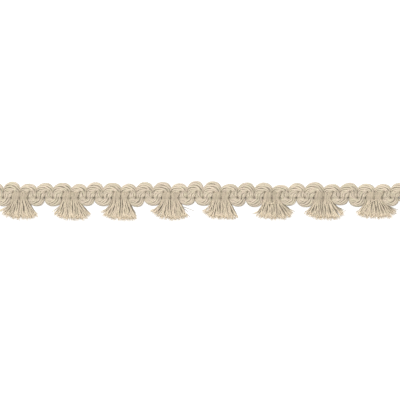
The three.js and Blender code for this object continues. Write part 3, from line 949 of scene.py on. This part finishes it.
def tassel_piece(tassel, centre_x, left_slit, right_slit, seed, material):
    """A tassel: two legs of yarn that come down through the rows, fan out together and end frayed."""
    rng = np.random.default_rng(seed)
    upper_lines, lower_lines = zip(left_slit, (0.0, TASSEL_LINE_SHIFT), right_slit)
    lines = np.array(upper_lines) + centre_x, np.array(lower_lines) + centre_x, TASSEL_PIT_DARKNESS
    yarn = YarnMesh(lines, TASSEL_SHADE)

    plies = tassel_plies(rng)
    count = len(plies.across)
    run = np.linspace(0, 1, FAN_STEPS)[1:]
    loose = np.concatenate([np.zeros(TASSEL_LEG_STEPS), run])
    legs = leg_paths(plies, left_slit, right_slit)
    fan = fan_paths(rng, tassel, plies, legs[:, -1], run)
    paths = np.concatenate([legs, fan], axis=1)
    along = run_lengths(paths[count // 2, :, :2])
    wander(rng, plies, paths, along, loose)
    paths[..., 0] += centre_x
    radii = ply_radii(rng, plies, along, loose)
    paths[..., 2] = np.maximum(paths[..., 2], radii)

    tones = ply_tones(rng, plies, loose)
    outward = np.zeros_like(paths)
    outward[..., 2] = plies.layer_value("face")[:, None]
    seeds = rng.uniform(0, 1, count)
    yarn.add_tubes(paths, radii, PLY_SIDES, seeds, tones, outward, ply_groove_shades(plies, loose))
    fuzz(yarn, rng, paths, outward, LAYERS[0]["radius"], FUZZ_PER_TASSEL)
    fray(yarn, rng, paths, along[-1] - along)
    for node, kind, *way in LOOSE_PLIES:
        if node == tassel["node"]:
            loose_ply(yarn, rng, np.array(way) + (centre_x, 0, 0), LOOSE_PLY_TONES[kind])
    return yarn.write(tassel["node"] + "_yarn", material)


def stitch_piece(row_lines, row_y, name, material):
    """A stitch row: a thread over every leg that dives between the legs, and its partner underneath."""
    yarn = YarnMesh((row_lines, row_lines, np.ones_like(row_lines)), GIMP_SHADE)
    share = np.linspace(0, 1, THREAD_STEPS + 1)[:-1]
    x = np.concatenate([start + (end - start) * share for start, end in zip(row_lines, row_lines[1:])])
    rise = np.tile(np.sin(math.pi * share) ** THREAD_RISE_EXPONENT, len(row_lines) - 1)
    for thread in THREADS:
        height = thread["between_z"] + rise * (thread["leg_z"] - thread["between_z"])
        path = np.column_stack([x, np.full_like(x, row_y), height])[None]
        outward = np.broadcast_to(UP, path.shape)
        even = np.ones((1, len(x)))
        radii = THREAD_RADIUS * even
        tones = thread["tone"] * even
        groove_shade = UPPER_GROOVE_SHADE * even
        yarn.add_tubes(path, radii, THREAD_SIDES, [thread["seed"]], tones, outward, groove_shade)
    return yarn.write(name, material)


def add_node(tree, kind, inputs, operation=None):
    """Adds a shader node; each input is a number or colour, or the output of another node."""
    node = tree.nodes.new(kind)
    if operation:
        node.operation = operation
    for key, value in inputs.items():
        if isinstance(value, bpy.types.NodeSocket):
            tree.links.new(value, node.inputs[key])
        else:
            node.inputs[key].default_value = value
    return node


def math_node(tree, operation, *values):
    """The result of a calculation with these values, each a number or the output of another node."""
    return add_node(tree, "ShaderNodeMath", dict(enumerate(values)), operation).outputs[0]


def ramp_node(tree, factor, edge, colours):
    """A colour that goes from the first to the second as the factor goes through the edge."""
    ramp = add_node(tree, "ShaderNodeValToRGB", {"Fac": factor})
    for stop, position, colour in zip(ramp.color_ramp.elements, edge, colours):
        stop.position = position
        stop.color = (*colour, 1)
    return ramp.outputs["Color"]


def wound_places(tree, along, side, seed):
    """Places that wind round each strand and are drawn out along it, for fibres that do the same."""
    helix = math_node(tree, "MULTIPLY_ADD", along, FIBRE_TURNS, side)
    turn = math_node(tree, "MULTIPLY", helix, 2 * math.pi)
    cosine = math_node(tree, "COSINE", turn)
    sine = math_node(tree, "SINE", turn)
    own_stretch = math_node(tree, "MULTIPLY", seed, SEED_STRETCH)
    drawn_out = math_node(tree, "MULTIPLY_ADD", along, FIBRE_DRAWN_OUT, own_stretch)
    return add_node(tree, "ShaderNodeCombineXYZ", {0: drawn_out, 1: cosine, 2: sine}).outputs[0]


def yarn_colour(tree, colour, places, fibre):
    """The yarn's colour: light and dark fibres, a slight drift of tint, and the mesh's tone, which holds
    random tone with painted shade and painted light.
    """
    fibres = ramp_node(tree, fibre, FIBRE_EDGE, np.outer(FIBRE_SHADES, colour))
    drifting = add_node(tree, "ShaderNodeTexNoise", {**TINT_NOISE, "Vector": places}).outputs["Fac"]
    tint = ramp_node(tree, drifting, TINT_EDGE, TINTS)
    tinted = add_node(tree, "ShaderNodeVectorMath", {0: fibres, 1: tint}, "MULTIPLY").outputs[0]
    tone = add_node(tree, "ShaderNodeAttribute", {})
    tone.attribute_name = "tone"
    shaded = add_node(tree, "ShaderNodeVectorMath", {0: tinted, "Scale": tone.outputs["Fac"]}, "SCALE")
    return shaded.outputs[0]


def ply_bump(tree, along, side, fibre):
    """The fine relief of a strand's surface: its plies, wound round it, and its fibres."""
    helix = math_node(tree, "MULTIPLY_ADD", along, PLY_TURNS, side)
    turn = math_node(tree, "MULTIPLY", helix, PLIES_ROUND * 2 * math.pi)
    wave = math_node(tree, "SINE", turn)
    height = math_node(tree, "MULTIPLY_ADD", wave, PLY_BUMP_SHARE, fibre)
    inputs = {"Strength": BUMP_STRENGTH, "Distance": BUMP_DISTANCE, "Height": height}
    return add_node(tree, "ShaderNodeBump", inputs).outputs["Normal"]


def yarn_material(name, colour):
    """Matt cotton yarn, whose plies and fibres follow each strand, with painted shade in the grooves and
    pits and painted light at the tips.
    """
    material = bpy.data.materials.new(name)
    material.use_nodes = True
    tree = material.node_tree
    tree.nodes.clear()
    output = add_node(tree, "ShaderNodeOutputMaterial", {})
    shader = add_node(tree, "ShaderNodeBsdfPrincipled", YARN_FINISH)
    tree.links.new(shader.outputs[0], output.inputs["Surface"])
    place = add_node(tree, "ShaderNodeAttribute", {})
    place.attribute_name = "yarn"
    along, side, seed = add_node(tree, "ShaderNodeSeparateXYZ", {0: place.outputs["Vector"]}).outputs
    places = wound_places(tree, along, side, seed)
    fibre = add_node(tree, "ShaderNodeTexNoise", {**FIBRE_NOISE, "Vector": places}).outputs["Fac"]
    tree.links.new(yarn_colour(tree, colour, places, fibre), shader.inputs["Base Color"])
    tree.links.new(ply_bump(tree, along, side, fibre), shader.inputs["Normal"])
    return material


def floor():
    """A pale surface that glows a little, so that it stays white in the trim's own shade."""
    bpy.ops.mesh.primitive_plane_add(size=FLOOR_SIZE, location=(0, 0, FLOOR_Z))
    plane = bpy.context.object
    plane.name = "floor"
    material = bpy.data.materials.new("floor_white")
    material.use_nodes = True
    shader = material.node_tree.nodes["Principled BSDF"]
    for key, value in FLOOR_FINISH.items():
        shader.inputs[key].default_value = value
    plane.data.materials.append(material)


def lighting():
    """A white world and a large soft light from almost straight above."""
    world = bpy.data.worlds.new("world")
    world.use_nodes = True
    background = world.node_tree.nodes["Background"]
    background.inputs["Color"].default_value = WHITE
    background.inputs["Strength"].default_value = WORLD_GLOW
    bpy.context.scene.world = world
    light = bpy.data.lights.new("softbox", "AREA")
    light.shape = "RECTANGLE"
    light.size = SOFTBOX_SIZE
    light.size_y = SOFTBOX_SIZE
    light.energy = SOFTBOX_WATTS
    box = bpy.data.objects.new("softbox", light)
    box.location = SOFTBOX_PLACE
    box.rotation_euler = SOFTBOX_TILT
    bpy.context.collection.objects.link(box)
    view = bpy.context.scene.view_settings
    view.view_transform = "Standard"
    view.look = "None"


def dress(piece, node):
    """Lets a piece stand for its node."""
    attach(piece, "root")
    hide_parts(node)


def trim():
    """The whole trim, stretch by stretch with the tassels between, and then its two stitch rows."""
    gimp_yarn = yarn_material("gimp_yarn", GIMP_COLOUR)
    tassel_yarn = yarn_material("tassel_yarn", TASSEL_COLOUR)
    thread = yarn_material("stitch_thread", THREAD_COLOUR)
    left = TRIM_LEFT
    upper_lines, lower_lines = [left], [left]
    for order, stretch in enumerate(STRETCHES):
        dress(gimp_piece(stretch, left, GIMP_SEED + order, gimp_yarn), stretch["node"])
        upper, lower = gap_lines(stretch["widths"], left)
        upper_lines += list(upper[1:])
        lower_lines += list(lower[1:])
        left = upper[-1]
        if order < len(TASSELS):
            tassel = TASSELS[order]
            next_slit = left + STRETCHES[order + 1]["widths"][0] / 2
            left_slit = (upper[-2] - left, lower[-2] - left)
            right_slit = (next_slit + SLIT_SHIFT_AT_TOP - left, next_slit + SLIT_SHIFT_AT_BOTTOM - left)
            piece = tassel_piece(tassel, left, left_slit, right_slit, TASSEL_SEED + order, tassel_yarn)
            dress(piece, tassel["node"])
    rows = {"stitch_upper": (upper_lines, STITCH_ROW_Y), "stitch_lower": (lower_lines, -STITCH_ROW_Y)}
    for node, row in rows.items():
        dress(stitch_piece(*row, node + "_thread", thread), node)


camera()
trim()
floor()
lighting()
